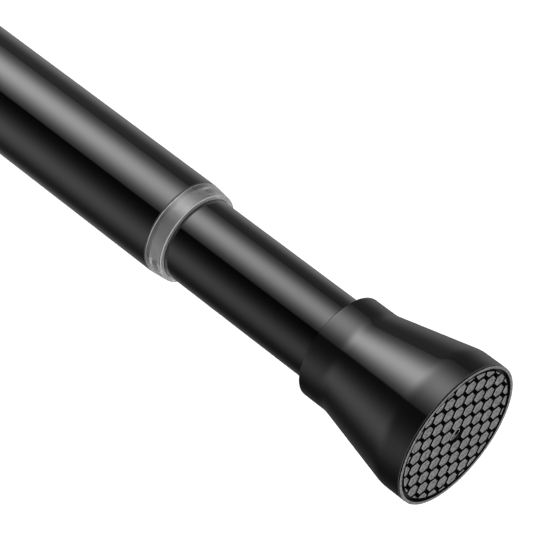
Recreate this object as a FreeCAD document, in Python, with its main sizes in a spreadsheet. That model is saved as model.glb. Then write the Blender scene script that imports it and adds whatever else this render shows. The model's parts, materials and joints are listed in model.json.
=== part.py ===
"""Spring tension rod: two telescoping steel tubes that a spring presses between two walls.

The rod lies along X. The origin is where the fixed end meets its wall, on the rod's axis, with +X
towards the other end and +Z up. Everything is in millimetres, and the rod is shut to its shortest length.
A twist of the inner tube jams an eccentric ring in the outer tube, which sets the length. Behind
that ring a compression spring on a spindle lets the inner tube give, and presses the pads on the walls.
"""

import FreeCAD, Part
import math
import os

import Sketcher

# Driving sizes, each written once.
SIZES = {
    # the rod as a whole; the pieces between the pads add up to its length
    "length_travel": 254.0,
    "tube_overlap": 30.0,
    "spring_stroke": 32.0,
    "closing_gap": 8.0,
    "lock_gap": 8.0,
    # tubes, one inside the other with a gap all round
    "outer_tube_diameter": 22.2,
    "outer_tube_wall": 0.7,
    "tube_gap": 0.875,
    "inner_tube_wall": 0.7,
    # fits
    "running_clearance": 0.06,
    "seat_clearance": 0.02,
    "axial_play": 0.3,
    # end caps
    "cap_rim_diameter": 32.6,
    "cap_rim_length": 6.1,
    "cap_cone_length": 19.2,
    "cap_neck_length": 7.1,
    "cap_neck_wall": 2.3,
    "cap_blend_radius": 9.0,
    "cap_mouth_round": 1.4,
    "cap_socket_depth": 20.0,
    "cap_ledge_width": 1.6,
    "cap_web": 3.0,
    "cap_lip_wall": 0.45,
    "cap_lip_round": 0.15,
    "cap_recess_depth": 2.2,
    # honeycomb pads, each with a raised rim that covers the cap's lip
    "pad_rim_thickness": 0.35,
    "pad_rim_wall": 0.18,
    "pad_rim_setback": 0.03,
    "pad_rim_bevel": 0.08,
    "pad_seam": 0.05,
    "tread_recess": 0.3,
    "tread_depth": 1.1,
    "cell_pitch": 3.45,
    "cell_groove": 0.58,
    "tread_edge_margin": 0.6,
    "tread_turn": 1.2,
    "centre_boss_diameter": 2.6,
    "centre_boss_drop": 0.15,
    "centre_hole_diameter": 0.96,
    "centre_hole_depth": 0.8,
    "centre_hole_across": 0.5,
    "centre_hole_up": 0.36,
    "stem_diameter": 4.0,
    "stem_barb": 0.6,
    "stem_barb_length": 1.8,
    # clear collar in the outer tube's mouth
    "collar_lip_length": 4.3,
    "collar_spigot_length": 10.0,
    "collar_taper": 0.5,
    "collar_edge_round": 0.25,
    "collar_round_share": 0.8,
    "collar_mouth_bevel": 0.25,
    # spindle and its fasteners
    "spindle_diameter": 5.0,
    "spindle_end_diameter": 4.0,
    "spindle_flats": 4.0,
    "spindle_tail": 1.2,
    "screw_diameter": 2.5,
    "screw_length": 8.0,
    "screw_head_diameter": 5.4,
    "screw_head_height": 2.0,
    "screw_crown_round": 0.65,
    "screw_socket_diameter": 1.8,
    "screw_socket_depth": 1.1,
    "washer_thickness": 0.8,
    "stop_washer_diameter": 12.0,
    "nut_across_flats": 7.0,
    "nut_height": 3.2,
    # twist lock
    "cam_ring_gap": 0.9,
    "cam_bore_share": 0.585,
    "cam_offset": 1.2,
    "cam_journal_length": 10.0,
    "cam_flange_gap": 2.4,
    "cam_flange_thickness": 1.5,
    "grip_groove_width": 0.8,
    "grip_groove_depth": 0.4,
    "grip_groove_count": 18,
    "drag_bush_length": 7.0,
    "drag_bush_slot": 1.6,
    "drag_bush_outer_wall": 2.04,
    "drag_bush_inner_wall": 1.94,
    "drag_bush_hole_count": 5,
    # spring and its seats
    "spring_wire": 1.4,
    "spring_gap": 2.8,
    "spring_turns": 10,
    "spring_spare": 1.8,
    "seat_flange_gap": 2.2,
    "seat_flange_thickness": 2.0,
    "seat_boss_length": 3.0,
    "seat_boss_clearance": 0.4,
    # guide plug in the inner tube's hidden end
    "plug_flange_thickness": 2.0,
    "plug_spigot_length": 14.0,
    "plug_outer_wall": 1.0,
    "plug_inner_wall": 1.45,
    "plug_floor": 2.0,
    "plug_pocket_count": 4,
    "pin_diameter": 2.4,
    "pin_length": 3.8,
    "pin_setback": 7.0,
}

# Sizes and places that follow from the driving ones.
DERIVED = {
    "outer_radius": "outer_tube_diameter / 2",
    "outer_bore_radius": "outer_radius - outer_tube_wall",
    "inner_radius": "outer_bore_radius - tube_gap",
    "inner_bore_radius": "inner_radius - inner_tube_wall",
    "rim_radius": "cap_rim_diameter / 2",
    "lip_inner_radius": "rim_radius - cap_lip_wall",
    "lip_front": "pad_rim_thickness + pad_seam",
    "pad_radius": "lip_inner_radius - seat_clearance",
    "pad_rim_inner_radius": "pad_radius - pad_rim_wall",
    "pad_rim_outer_radius": "rim_radius - pad_rim_setback",
    "cone_end": "cap_rim_length + cap_cone_length",
    "cap_length": "cone_end + cap_neck_length",
    "socket_bottom": "cap_length - cap_socket_depth",
    "web_back": "cap_recess_depth + cap_web",
    "stem_hole_radius": "stem_diameter / 2 + seat_clearance",
    "cam_far_end": "socket_bottom + lock_gap + screw_head_height + washer_thickness",
    "cam_shoulder": "cam_far_end + cam_journal_length + cam_flange_thickness",
    "bush_far_end": "cam_shoulder + axial_play",
    "seat_back": "bush_far_end + drag_bush_length + axial_play",
    "spring_far_end": "seat_back + seat_flange_thickness",
    "spring_length": "(spring_turns + 1) * spring_wire + spring_stroke + spring_spare",
    "spring_washer_face": "spring_far_end + spring_length",
    "plug_face": "spring_washer_face + washer_thickness",
    "inner_far_end": "plug_face + plug_flange_thickness",
    "spindle_shoulder": "inner_far_end + plug_spigot_length",
    "outer_mouth": "inner_far_end + length_travel + tube_overlap",
    "collar_front": "outer_mouth + collar_lip_length",
    "collar_bore_radius": "inner_radius + running_clearance",
    "collar_nose_width": "outer_radius - collar_taper - collar_bore_radius",
    "overall_length": "collar_front + spring_stroke + closing_gap + cap_length",
    "inner_near_end": "overall_length - socket_bottom",
    "spindle_radius": "spindle_diameter / 2",
    "spindle_bore_radius": "spindle_radius + running_clearance",
    "cam_ring_length": "cam_journal_length - axial_play",
    "cam_ring_radius": "outer_bore_radius - cam_ring_gap",
    "cam_bore_radius": "cam_ring_radius * cam_bore_share",
    "cam_flange_radius": "outer_bore_radius - cam_flange_gap",
    "bush_radius": "outer_bore_radius - running_clearance",
    "bush_hole_outer": "bush_radius - drag_bush_outer_wall",
    "bush_hole_inner": "spindle_bore_radius + drag_bush_inner_wall",
    "seat_flange_radius": "outer_bore_radius - seat_flange_gap",
    "spring_radius": "outer_bore_radius - spring_gap",
    "seat_boss_radius": "spring_radius - spring_wire - seat_boss_clearance",
    "plug_spigot_radius": "inner_bore_radius - seat_clearance",
    "plug_pocket_outer": "plug_spigot_radius - plug_outer_wall",
    "plug_pocket_inner": "spindle_bore_radius + plug_inner_wall",
}

FULL_TURN = 360.0
THROUGH = 200.0
SMALLEST_CELL_SHARE = 0.02
FAILED_STATES = {"Invalid", "Error"}

document = FreeCAD.newDocument("tension_rod")
sheet = document.addObject("Spreadsheet::Sheet", "Sizes")


def fill_sheet():
    """Writes every driving size as a plain number, and every derived one as a formula of their names."""
    rows = [(name, str(number)) for name, number in SIZES.items()]
    rows += [(name, "=" + formula) for name, formula in DERIVED.items()]
    for row, (name, text) in enumerate(rows, start=1):
        sheet.set(f"A{row}", name)
        sheet.set(f"B{row}", text)
        sheet.setAlias(f"B{row}", name)
    document.recompute()


def with_sheet(formula):
    """Puts the sheet's name in front of each size that a formula names, as a binding needs."""
    words = []
    for word in formula.replace("(", "( ").replace(")", " )").split():
        known = word in SIZES or word in DERIVED
        words.append(f"Sizes.{word}" if known else word)
    return " ".join(words)


def size(formula):
    """The present value of a formula of the sheet's names."""
    return float(sheet.evalExpression(with_sheet(formula)))


def bind(thing, field, formula):
    """Ties one property of an object to a formula of the sheet's names."""
    thing.setExpression(field, with_sheet(formula))


def place(thing, x, turned=False):
    """Puts a piece's own origin at x on the rod's axis, facing back along the rod when turned."""
    if turned:
        thing.Placement = FreeCAD.Placement(FreeCAD.Vector(), FreeCAD.Rotation(FreeCAD.Vector(0, 0, 1), 180))
    bind(thing, "Placement.Base.x", x)


def new_body(label):
    body = document.addObject("PartDesign::Body", label)
    body.Label = label
    return body


def new_sketch(body, role, name):
    """A sketch on one of the body's own origin planes."""
    sketch = body.newObject("Sketcher::SketchObject", f"{body.Label}_{name}")
    plane = next(item for item in body.Origin.OriginFeatures if item.Role == role)
    sketch.AttachmentSupport = [(plane, "")]
    sketch.MapMode = "FlatFace"
    return sketch


def fix_distance(sketch, kind, geometry, point, formula):
    """Holds one point of a sketch at a distance from its origin, tied to the sheet."""
    if formula == "0":
        axis = -2 if kind == "DistanceX" else -1
        sketch.addConstraint(Sketcher.Constraint("PointOnObject", geometry, point, axis))
        return
    constraint = Sketcher.Constraint(kind, -1, 1, geometry, point, size(formula))
    bind(sketch, f"Constraints[{sketch.addConstraint(constraint)}]", formula)


def draw_outline(sketch, corners):
    """A closed outline of straight lines through (across, up) formulas.

    A third formula with a corner is the radius of an arc that cuts it across.
    """
    points = [FreeCAD.Vector(size(across), size(up), 0) for across, up, *_ in corners]
    count = len(points)
    arcs = {}
    for index, (_, _, *radius) in enumerate(corners):
        if radius:
            after = points[(index + 1) % count]
            arcs[index] = corner_arc(points[index - 1], points[index], after, size(radius[0]))
    first = sketch.GeometryCount
    for index in range(count):
        following = (index + 1) % count
        start = arcs[index]["leave"] if index in arcs else points[index]
        end = arcs[following]["meet"] if following in arcs else points[following]
        sketch.addGeometry(Part.LineSegment(start, end), False)
    for index, (across, up, *radius) in enumerate(corners):
        line_before = first + (index - 1) % count
        line_after = first + index
        if index in arcs:
            mark = sketch.addGeometry(Part.Point(points[index]), True)
            round_corner(sketch, line_before, line_after, arcs[index], mark, radius[0])
            held_point = mark
        else:
            sketch.addConstraint(Sketcher.Constraint("Coincident", line_before, 2, line_after, 1))
            held_point = line_after
        fix_distance(sketch, "DistanceX", held_point, 1, across)
        fix_distance(sketch, "DistanceY", held_point, 1, up)


def corner_arc(before, corner, after, radius):
    """The arc that rounds a corner: where it meets the first line and leaves for the second."""
    back = (before - corner).normalize()
    ahead = (after - corner).normalize()
    half_angle = back.getAngle(ahead) / 2
    run = radius / math.tan(half_angle)
    inward = (back + ahead).normalize()
    return {
        "meet": corner + back * run,
        "leave": corner + ahead * run,
        "middle": corner + inward * (radius / math.sin(half_angle)),
        "turns_left": ahead.cross(back).z > 0,
    }


def round_corner(sketch, line_before, line_after, arc, mark, radius):
    """Joins two lines by a tangent arc, and keeps both in line with the mark at the corner it cuts off."""
    up = FreeCAD.Vector(0, 0, 1)
    start, end = (arc["meet"], arc["leave"]) if arc["turns_left"] else (arc["leave"], arc["meet"])
    angles = [math.atan2(point.y - arc["middle"].y, point.x - arc["middle"].x) for point in (start, end)]
    circle = Part.Circle(arc["middle"], up, size(radius))
    bend = sketch.addGeometry(Part.ArcOfCircle(circle, angles[0], angles[1]), False)
    meets, leaves = (1, 2) if arc["turns_left"] else (2, 1)
    sketch.addConstraint(Sketcher.Constraint("Tangent", line_before, 2, bend, meets))
    sketch.addConstraint(Sketcher.Constraint("Tangent", bend, leaves, line_after, 1))
    for line in (line_before, line_after):
        sketch.addConstraint(Sketcher.Constraint("PointOnObject", mark, 1, line))
    held = sketch.addConstraint(Sketcher.Constraint("Radius", bend, size(radius)))
    bind(sketch, f"Constraints[{held}]", radius)


def draw_circle(sketch, radius, across="0", up="0"):
    """A circle whose centre and radius are formulas."""
    centre = FreeCAD.Vector(size(across), size(up), 0)
    circle = Part.Circle(centre, FreeCAD.Vector(0, 0, 1), size(radius))
    index = sketch.addGeometry(circle, False)
    fix_distance(sketch, "DistanceX", index, 3, across)
    fix_distance(sketch, "DistanceY", index, 3, up)
    held = sketch.addConstraint(Sketcher.Constraint("Radius", index, size(radius)))
    bind(sketch, f"Constraints[{held}]", radius)


def spin(body, corners):
    """Turns an outline of (along the axis, radius) formulas round the rod's axis."""
    sketch = new_sketch(body, "XZ_Plane", "outline")
    draw_outline(sketch, corners)
    turned = body.newObject("PartDesign::Revolution", f"{body.Label}_turned")
    turned.Profile = sketch
    turned.ReferenceAxis = (sketch, ["H_Axis"])
    turned.Angle = FULL_TURN
    document.recompute()
    return turned


def extrude(body, name, draw, length, start="0"):
    """Pads a sketch drawn across the rod, from start in the body's own frame along +X."""
    sketch = new_sketch(body, "YZ_Plane", name)
    draw(sketch)
    if start != "0":
        bind(sketch, "AttachmentOffset.Base.z", start)
    padded = body.newObject("PartDesign::Pad", f"{body.Label}_{name}_pad")
    padded.Profile = sketch
    bind(padded, "Length", length)
    document.recompute()
    return padded


def cut(body, role, name, draw, depth=None, start="0"):
    """Pockets a sketch out of a body, through it both ways, or to a depth along +X from start."""
    before = body.Shape.Volume
    sketch = new_sketch(body, role, name)
    draw(sketch)
    if start != "0":
        bind(sketch, "AttachmentOffset.Base.z", start)
    pocket = body.newObject("PartDesign::Pocket", f"{body.Label}_{name}_cut")
    pocket.Profile = sketch
    if depth is None:
        pocket.Length = THROUGH
        pocket.Midplane = True
    else:
        bind(pocket, "Length", depth)
        pocket.Reversed = True
    document.recompute()
    if body.Shape.Volume >= before:
        raise RuntimeError(f"{pocket.Label} cuts nothing")
    return pocket


def repeat_round(body, feature, count):
    """Repeats a feature in equal steps round the rod's axis."""
    pattern = body.newObject("PartDesign::PolarPattern", f"{feature.Label}_round")
    pattern.Originals = [feature]
    pattern.Axis = (feature.Profile[0], ["N_Axis"])
    pattern.Angle = FULL_TURN
    bind(pattern, "Occurrences", count)
    body.Tip = pattern
    document.recompute()
    return pattern


def ring_edges(feature, places):
    """Names of a feature's circular edges that lie at the given (along the axis, radius) formulas."""
    wanted = [(size(along), size(radius)) for along, radius in places]
    names = []
    for number, edge in enumerate(feature.Shape.Edges, start=1):
        if not isinstance(edge.Curve, Part.Circle):
            continue
        along = edge.Curve.Center.x - feature.Shape.Placement.Base.x
        if any(math.hypot(along - x, edge.Curve.Radius - r) < 1e-4 for x, r in wanted):
            names.append(f"Edge{number}")
    if len(names) != len(wanted):
        raise RuntimeError(f"{feature.Label}: {len(names)} edges found for {len(wanted)} places")
    return names


def round_edges(body, feature, name, places, radius):
    """Rounds the circular edges at the given places."""
    rounded = body.newObject("PartDesign::Fillet", f"{body.Label}_{name}")
    rounded.Base = (feature, ring_edges(feature, places))
    bind(rounded, "Radius", radius)
    document.recompute()
    return rounded


def bevel_edges(body, feature, name, places, width):
    """Bevels the circular edges at the given places."""
    bevelled = body.newObject("PartDesign::Chamfer", f"{body.Label}_{name}")
    bevelled.Base = (feature, ring_edges(feature, places))
    bind(bevelled, "Size", width)
    document.recompute()
    return bevelled


def tube(label, outside, inside, length, start):
    """A drawn steel tube, cut square at both ends."""

    def rings(sketch):
        draw_circle(sketch, outside)
        draw_circle(sketch, inside)

    body = new_body(label)
    extrude(body, "wall", rings, length)
    place(body, start)
    return body


def outer_tube():
    length = "outer_mouth - socket_bottom"
    return tube("outer_tube", "outer_radius", "outer_bore_radius", length, "socket_bottom")


def inner_tube():
    """The inner tube is drilled across for the two pins that hold the guide plug."""
    length = "inner_near_end - inner_far_end"
    body = tube("inner_tube", "inner_radius", "inner_bore_radius", length, "inner_far_end")
    cut(body, "XY_Plane", "pin_holes", pin_hole)
    return body


def pin_hole(sketch):
    draw_circle(sketch, "pin_diameter / 2", across="pin_setback")


def end_cap(label, tube_radius, at, turned):
    """A flared cap: thin lip round the pad's seat, cylinder, cone, neck, and a socket for the tube."""
    neck = f"{tube_radius} + cap_neck_wall"
    socket = f"{tube_radius} + seat_clearance"
    ledge = f"{tube_radius} - cap_ledge_width"
    body = new_body(label)
    turned_form = spin(
        body,
        [
            ("cap_recess_depth", "stem_hole_radius"),
            ("cap_recess_depth", "lip_inner_radius"),
            ("lip_front", "lip_inner_radius"),
            ("lip_front", "rim_radius"),
            ("cap_rim_length", "rim_radius", "cap_blend_radius"),
            ("cone_end", neck, "cap_blend_radius"),
            ("cap_length", neck),
            ("cap_length", socket),
            ("socket_bottom", socket),
            ("socket_bottom", ledge),
            ("web_back", ledge),
            ("web_back", "stem_hole_radius"),
        ],
    )
    lipped = round_edges(body, turned_form, "lip", [("lip_front", "rim_radius")], "cap_lip_round")
    round_edges(body, lipped, "mouth", [("cap_length", neck)], "cap_mouth_round")
    place(body, at, turned)
    return body


def cell_centres():
    """Middles of the honeycomb's cells, in rows at 60 degrees, as far out as the tread reaches."""
    pitch = size("cell_pitch")
    reach = math.ceil(size("lip_inner_radius") / pitch) + 2
    turn = math.radians(size("tread_turn"))
    row_step = pitch * math.cos(math.radians(30))
    for column in range(-reach, reach + 1):
        for row in range(-reach, reach + 1):
            across = column * row_step
            up = (row + (column % 2) / 2) * pitch
            y = across * math.cos(turn) - up * math.sin(turn)
            z = across * math.sin(turn) + up * math.cos(turn)
            yield y, z


def hexagon_prism(y, z, across_flats, start, height):
    """A six-sided stud with two flats facing up and down, standing along -X from start."""
    corner_radius = across_flats / math.sqrt(3)
    turn = size("tread_turn")
    corners = []
    for step in range(6):
        angle = math.radians(turn + 60 * step)
        corner_y = y + corner_radius * math.cos(angle)
        corner_z = z + corner_radius * math.sin(angle)
        corners.append(FreeCAD.Vector(start, corner_y, corner_z))
    outline = Part.makePolygon(corners + corners[:1])
    return Part.Face(outline).extrude(FreeCAD.Vector(-height, 0, 0))


def rod_cylinder(radius, start, length):
    """A cylinder on the rod's axis, from start along +X."""
    return Part.makeCylinder(radius, length, FreeCAD.Vector(start, 0, 0), FreeCAD.Vector(1, 0, 0))


def honeycomb(floor, height):
    """The studs of the tread: whole cells, and those that its round edge trims."""
    across_flats = size("cell_pitch - cell_groove")
    edge_radius = size("pad_rim_inner_radius - tread_edge_margin")
    smallest = SMALLEST_CELL_SHARE * math.sqrt(3) / 2 * across_flats**2 * height
    field = rod_cylinder(edge_radius, floor - height, height)
    studs = []
    for y, z in cell_centres():
        if math.hypot(y, z) < 1e-6:
            continue
        if math.hypot(y, z) > edge_radius + across_flats:
            continue
        stud = hexagon_prism(y, z, across_flats, floor, height)
        if math.hypot(y, z) > edge_radius - across_flats:
            stud = stud.common(field)
        if stud.Volume > smallest:
            studs.extend(stud.Solids)
    return studs


def turned_solid(corners):
    """A solid of revolution about the rod's axis, from (along the axis, radius) numbers."""
    points = [FreeCAD.Vector(along, radius, 0) for along, radius in corners]
    outline = Part.makePolygon(points + points[:1])
    return Part.Face(outline).revolve(FreeCAD.Vector(), FreeCAD.Vector(1, 0, 0), FULL_TURN)


def pad_back(floor):
    """The pad without its tread: a raised rim, a disc and a stem whose barb snaps behind the cap's web."""
    rim_inside = size("pad_rim_inner_radius")
    rim_outside = size("pad_rim_outer_radius")
    bevel = size("pad_rim_bevel")
    rim_back = size("pad_rim_thickness")
    disc_radius = size("pad_radius")
    disc_back = size("cap_recess_depth")
    stem_radius = size("stem_diameter / 2")
    stem_end = size("web_back")
    return turned_solid([
        (floor, 0),
        (floor, rim_inside),
        (bevel, rim_inside),
        (0, rim_inside + bevel),
        (0, rim_outside - bevel),
        (bevel, rim_outside),
        (rim_back, rim_outside),
        (rim_back, disc_radius),
        (disc_back, disc_radius),
        (disc_back, stem_radius),
        (stem_end, stem_radius),
        (stem_end, stem_radius + size("stem_barb")),
        (stem_end + size("stem_barb_length"), stem_radius / 2),
        (stem_end + size("stem_barb_length"), 0),
    ])


def pad_shape():
    """A rubber pad: honeycomb studs inside a raised rim, a boss with a pinhole, and a barbed stem."""
    height = size("tread_depth")
    floor = size("tread_recess") + height
    boss_height = height - size("centre_boss_drop")
    boss = rod_cylinder(size("centre_boss_diameter / 2"), floor - boss_height, boss_height)
    solid = pad_back(floor).fuse([boss] + honeycomb(floor, height))
    hole = rod_cylinder(size("centre_hole_diameter / 2"), floor - boss_height, size("centre_hole_depth"))
    hole.translate(FreeCAD.Vector(0, -size("centre_hole_across"), size("centre_hole_up")))
    return solid.cut(hole).removeSplitter()


def pad(label, at, turned):
    piece = document.addObject("Part::Feature", label)
    piece.Label = label
    piece.Shape = pad_shape()
    place(piece, at, turned)
    return piece


def clear_collar():
    """A clear bush: a spigot in the outer tube's mouth, and a lip that tapers down to the inner tube."""
    body = new_body("clear_collar")
    bore = "collar_bore_radius"
    nose = "outer_radius - collar_taper"
    whole = "collar_spigot_length + collar_lip_length"
    spigot = "outer_bore_radius - seat_clearance"
    form = spin(
        body,
        [
            ("0", bore),
            (whole, bore),
            (whole, nose),
            ("collar_spigot_length", "outer_radius"),
            ("collar_spigot_length", spigot),
            ("0", spigot),
        ],
    )
    nose_round = "min(collar_edge_round ; collar_round_share * collar_nose_width)"
    nosed = round_edges(body, form, "nose", [(whole, nose)], nose_round)
    bevel_edges(body, nosed, "mouth", [(whole, bore)], "collar_mouth_bevel")
    place(body, "outer_mouth - collar_spigot_length")
    return body


def flats(sketch, clearance="0"):
    """Outline across the rod of a round bar with two flats, above and below, as two slices."""
    half = f"spindle_flats / 2 + {clearance}"
    reach = "spindle_diameter"
    for side in (1, -1):
        low = f"{side} * ( {half} )"
        high = f"{side} * {reach}"
        corners = [(f"-1 * {reach}", low), (reach, low), (reach, high), (f"-1 * {reach}", high)]
        draw_outline(sketch, corners)


def spindle():
    """The steel spindle: thin far end for the cam, round journal, flats for the keyed pieces, thin tail."""
    body = new_body("spindle")
    thin = "spindle_end_diameter / 2"
    thick = "spindle_radius"
    journal_start = "cam_shoulder - cam_far_end"
    shoulder = "spindle_shoulder - cam_far_end"
    tail = "spindle_shoulder + washer_thickness + nut_height + spindle_tail - cam_far_end"
    spin(
        body,
        [
            ("0", "screw_diameter / 2"),
            ("0", thin),
            (journal_start, thin),
            (journal_start, thick),
            (shoulder, thick),
            (shoulder, thin),
            (tail, thin),
            (tail, "0"),
            ("screw_length", "0"),
            ("screw_length", "screw_diameter / 2"),
        ],
    )
    cut(body, "YZ_Plane", "flats", flats, "spindle_shoulder - seat_back", "seat_back - cam_far_end")
    place(body, "cam_far_end")
    return body


def screw():
    """The screw that holds the cam on the spindle: a low round head with a hexagon socket."""
    body = new_body("retainer_screw")
    head = "screw_head_diameter / 2"
    form = spin(
        body,
        [
            ("0", "0"),
            ("0", head),
            ("screw_head_height", head),
            ("screw_head_height", "screw_diameter / 2"),
            ("screw_head_height + washer_thickness + screw_length", "screw_diameter / 2"),
            ("screw_head_height + washer_thickness + screw_length", "0"),
        ],
    )
    round_edges(body, form, "crown", [("0", head)], "screw_crown_round")

    def socket(sketch):
        draw_hexagon(sketch, "screw_socket_diameter")

    cut(body, "YZ_Plane", "socket", socket, "screw_socket_depth")
    place(body, "cam_far_end - washer_thickness - screw_head_height")
    return body


def draw_hexagon(sketch, across_flats):
    """A regular hexagon about the rod's axis, with two flats facing up and down."""
    corners = []
    for step in range(6):
        angle = 60 * step
        across = f"{across_flats} / sqrt(3) * cos({angle} deg)"
        up = f"{across_flats} / sqrt(3) * sin({angle} deg)"
        corners.append((across, up if step % 3 else "0"))
    draw_outline(sketch, corners)


def washer(label, outside, inside, thickness, at):
    """A flat steel washer on the rod's axis."""

    def rings(sketch):
        draw_circle(sketch, outside)
        draw_circle(sketch, inside)

    body = new_body(label)
    extrude(body, "ring", rings, thickness)
    place(body, at)
    return body


def lock_nut():
    """The hexagon nut that closes the spindle's tail."""

    def rings(sketch):
        draw_hexagon(sketch, "nut_across_flats")

    body = new_body("lock_nut")
    extrude(body, "hexagon", rings, "nut_height")

    def thread(sketch):
        draw_circle(sketch, "spindle_end_diameter / 2 + seat_clearance")

    cut(body, "YZ_Plane", "thread", thread)
    place(body, "spindle_shoulder + washer_thickness")
    return body


def cam_plug():
    """The eccentric journal that the ring turns on, with a round flange behind it."""
    body = new_body("cam_plug")

    def journal(sketch):
        draw_circle(sketch, "cam_bore_radius - running_clearance", up="cam_offset")

    extrude(body, "journal", journal, "cam_journal_length")

    def flange(sketch):
        draw_circle(sketch, "cam_flange_radius")

    extrude(body, "flange", flange, "cam_flange_thickness", "cam_journal_length")

    def bore(sketch):
        draw_circle(sketch, "spindle_end_diameter / 2 + seat_clearance")

    cut(body, "YZ_Plane", "bore", bore)
    place(body, "cam_far_end")
    return body


def cam_ring():
    """The ring that jams in the tube: round outside, bored off centre, with grip grooves along it."""
    body = new_body("cam_ring")

    def rings(sketch):
        draw_circle(sketch, "cam_ring_radius")
        draw_circle(sketch, "cam_bore_radius", up="cam_offset")

    extrude(body, "ring", rings, "cam_ring_length")

    def groove(sketch):
        deep = "cam_ring_radius - grip_groove_depth"
        clear = "cam_ring_radius + grip_groove_depth"
        half = "grip_groove_width / 2"
        draw_outline(sketch, [("0", deep), (half, clear), (f"-1 * {half}", clear)])

    first = cut(body, "YZ_Plane", "groove", groove)
    repeat_round(body, first, "grip_groove_count")
    place(body, "cam_far_end + axial_play / 2")
    return body


def drag_bush():
    """The split bush that drags in the outer tube and carries the spindle."""
    body = new_body("drag_bush")

    def rings(sketch):
        draw_circle(sketch, "bush_radius")
        draw_circle(sketch, "spindle_bore_radius")

    extrude(body, "ring", rings, "drag_bush_length")

    def hole(sketch):
        radius = "(bush_hole_outer - bush_hole_inner) / 2"
        draw_circle(sketch, radius, up="(bush_hole_outer + bush_hole_inner) / 2")

    first = cut(body, "YZ_Plane", "holes", hole)
    repeat_round(body, first, "drag_bush_hole_count")

    def slot(sketch):
        half = "drag_bush_slot / 2"
        low = "-1 * outer_radius"
        draw_outline(sketch, [(f"-1 * {half}", low), (half, low), (half, "0"), (f"-1 * {half}", "0")])

    cut(body, "YZ_Plane", "slot", slot)
    place(body, "bush_far_end")
    return body


def keyed_bore(sketch, clearance):
    """A hole for the flatted spindle: two flats joined by two arcs."""
    radius = f"spindle_radius + {clearance}"
    half = f"spindle_flats / 2 + {clearance}"
    round_size = size(radius)
    flat_height = size(half)
    flat_reach = math.sqrt(round_size**2 - flat_height**2)
    angle = math.atan2(flat_height, flat_reach)
    circle = Part.Circle(FreeCAD.Vector(), FreeCAD.Vector(0, 0, 1), round_size)
    corners = [
        FreeCAD.Vector(across * flat_reach, up * flat_height, 0)
        for across, up in ((1, 1), (-1, 1), (-1, -1), (1, -1))
    ]
    sketch.addGeometry(Part.LineSegment(corners[0], corners[1]), False)
    sketch.addGeometry(Part.ArcOfCircle(circle, math.pi - angle, math.pi + angle), False)
    sketch.addGeometry(Part.LineSegment(corners[2], corners[3]), False)
    sketch.addGeometry(Part.ArcOfCircle(circle, -angle, angle), False)
    for index in range(4):
        joined = Sketcher.Constraint("Coincident", index, 2, (index + 1) % 4, 1)
        sketch.addConstraint(joined)
    for arc in (1, 3):
        sketch.addConstraint(Sketcher.Constraint("Coincident", arc, 3, -1, 1))
    for line in (0, 2):
        sketch.addConstraint(Sketcher.Constraint("Horizontal", line))
    held = sketch.addConstraint(Sketcher.Constraint("Radius", 1, round_size))
    bind(sketch, f"Constraints[{held}]", radius)
    fix_distance(sketch, "DistanceY", 0, 1, half)
    fix_distance(sketch, "DistanceY", 2, 1, f"-1 * ( {half} )")


def spring_seat():
    """The flanged seat that the spindle's flats carry, with a boss inside the spring."""
    body = new_body("spring_seat")
    reach = "seat_flange_thickness + seat_boss_length"
    spin(
        body,
        [
            ("0", "0"),
            ("0", "seat_flange_radius"),
            ("seat_flange_thickness", "seat_flange_radius"),
            ("seat_flange_thickness", "seat_boss_radius"),
            (reach, "seat_boss_radius"),
            (reach, "0"),
        ],
    )

    def bore(sketch):
        keyed_bore(sketch, "seat_clearance")

    cut(body, "YZ_Plane", "bore", bore)
    place(body, "seat_back")
    return body


def spring():
    """The compression spring: round wire wound on a helix between its two seats."""
    piece = document.addObject("Part::Feature", "spring")
    piece.Label = "spring"
    wire_radius = size("spring_wire / 2")
    coil_radius = size("spring_radius") - wire_radius
    rise = size("spring_length - spring_wire - 2 * running_clearance")
    path = Part.makeHelix(rise / size("spring_turns"), rise, coil_radius)
    start = FreeCAD.Vector(coil_radius, 0, 0)
    section = Part.Wire(Part.makeCircle(wire_radius, start, FreeCAD.Vector(0, 1, 0)))
    piece.Shape = Part.Wire(path).makePipeShell([section], True, True)
    along_rod = FreeCAD.Rotation(FreeCAD.Vector(0, 1, 0), 90)
    piece.Placement = FreeCAD.Placement(FreeCAD.Vector(), along_rod)
    place(piece, "spring_far_end + spring_wire / 2 + running_clearance")
    return piece


def guide_plug():
    """The plug in the inner tube's end: flange, spigot and a spring boss, keyed to the spindle."""
    body = new_body("guide_plug")
    boss = "washer_thickness + seat_boss_length"
    face = "washer_thickness + seat_boss_length + plug_flange_thickness"
    whole = f"{face} + plug_spigot_length"
    spin(
        body,
        [
            ("0", "0"),
            ("0", "seat_boss_radius"),
            (boss, "seat_boss_radius"),
            (boss, "inner_radius"),
            (face, "inner_radius"),
            (face, "plug_spigot_radius"),
            (whole, "plug_spigot_radius"),
            (whole, "0"),
        ],
    )

    def bore(sketch):
        keyed_bore(sketch, "running_clearance")

    cut(body, "YZ_Plane", "bore", bore)

    def pocket(sketch):
        radius = "(plug_pocket_outer - plug_pocket_inner) / 2"
        side = "(plug_pocket_outer + plug_pocket_inner) / 2 * sqrt(0.5)"
        draw_circle(sketch, radius, across=side, up=side)

    depth = "plug_spigot_length - plug_floor"
    first = cut(body, "YZ_Plane", "pocket", pocket, depth, f"{whole} - ( {depth} )")
    repeat_round(body, first, "plug_pocket_count")

    def holes(sketch):
        draw_circle(sketch, "pin_diameter / 2", across=f"{face} + pin_setback")

    cut(body, "XY_Plane", "pin_holes", holes)
    place(body, "plug_face - washer_thickness - seat_boss_length")
    return body


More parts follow.
